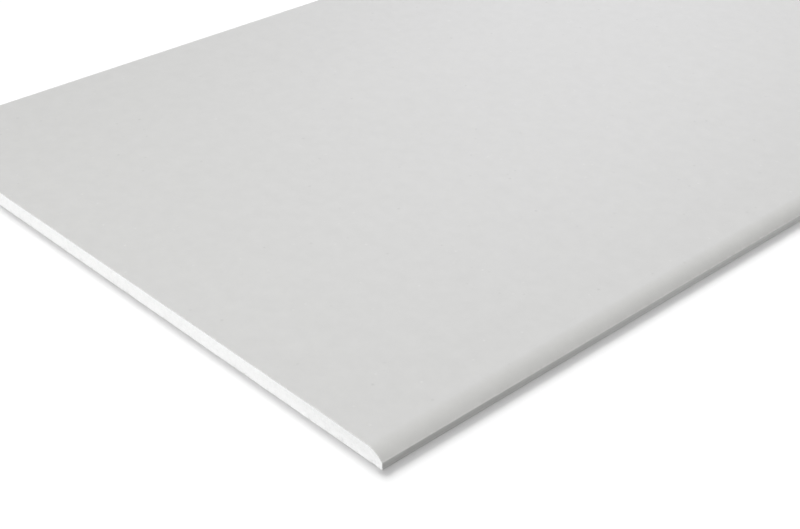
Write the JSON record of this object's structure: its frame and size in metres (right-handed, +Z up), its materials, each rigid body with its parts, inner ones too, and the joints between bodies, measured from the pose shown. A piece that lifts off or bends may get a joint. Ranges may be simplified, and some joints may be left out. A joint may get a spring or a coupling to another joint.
{
  "type": "drywall sheet",
  "caption": "Flat rectangular drywall sheet with a gypsum core between face and back papers, rounded tapered long edges and square cut ends, for lining walls and ceilings.",
  "frame": {"origin": "middle of the underside of the back paper, at the centre of the sheet's length and width", "axes": "+X across the sheet to one long tapered edge, +Y along the sheet to one cut end, +Z up out of the face; the sheet lies face up"},
  "size_m": [0.6, 2, 0.0125],
  "materials": {
    "gypsum_core": "matt white foamed gypsum, sawn at both ends",
    "face_paper": "smooth matt light grey paper",
    "back_paper": "rough matt brown-grey recycled paper"
  },
  "bodies": {
    "root": {"gypsum_core": "gypsum_core", "face_paper": "face_paper", "back_paper": "back_paper"}
  },
  "joints": []
}
